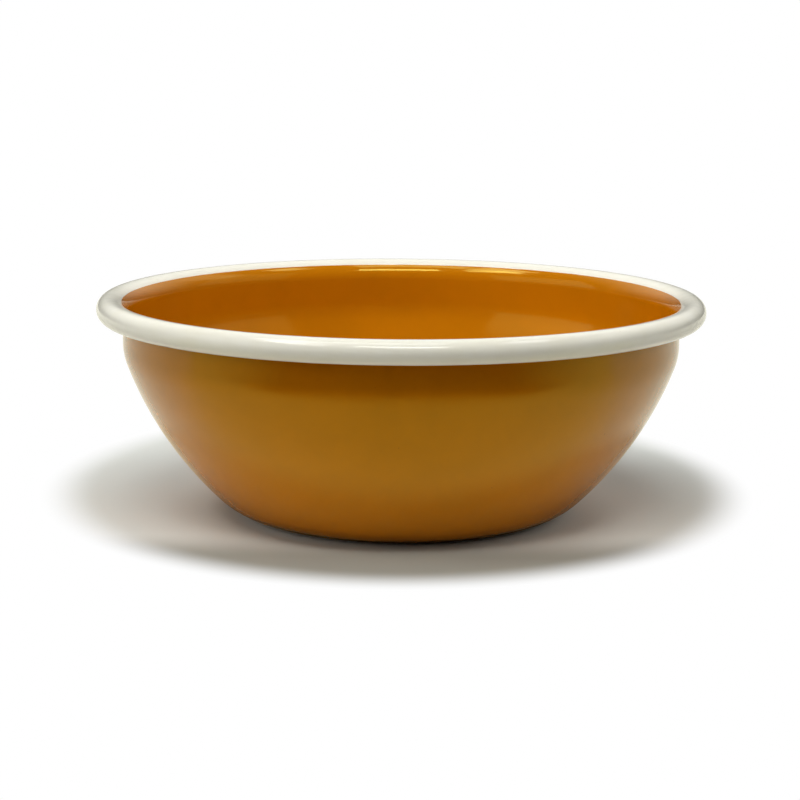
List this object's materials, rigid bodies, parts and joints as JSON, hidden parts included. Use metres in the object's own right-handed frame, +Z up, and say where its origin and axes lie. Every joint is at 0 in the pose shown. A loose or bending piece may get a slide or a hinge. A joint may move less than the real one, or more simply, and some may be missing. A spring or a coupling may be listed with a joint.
{
  "type": "enamel pet bowl",
  "caption": "Round enamelled steel pet bowl with a hollow rim rolled outwards: ochre inside and outside, a cream coat on the rim, and a flat foot ring to stand on.",
  "frame": {"origin": "on the floor under the middle of the bowl, in the plane of the foot ring", "axes": "+Z up along the bowl's axis of revolution; X and Y are any two level directions, because the bowl is round"},
  "size_m": [0.18, 0.18, 0.0658],
  "materials": {
    "drawn_steel": "satin",
    "ochre_enamel": "gloss",
    "cream_enamel": "gloss"
  },
  "bodies": {
    "root": {"steel_shell": "drawn_steel", "outer_enamel": "ochre_enamel", "inner_enamel": "ochre_enamel", "rim_enamel": "cream_enamel"}
  },
  "joints": []
}
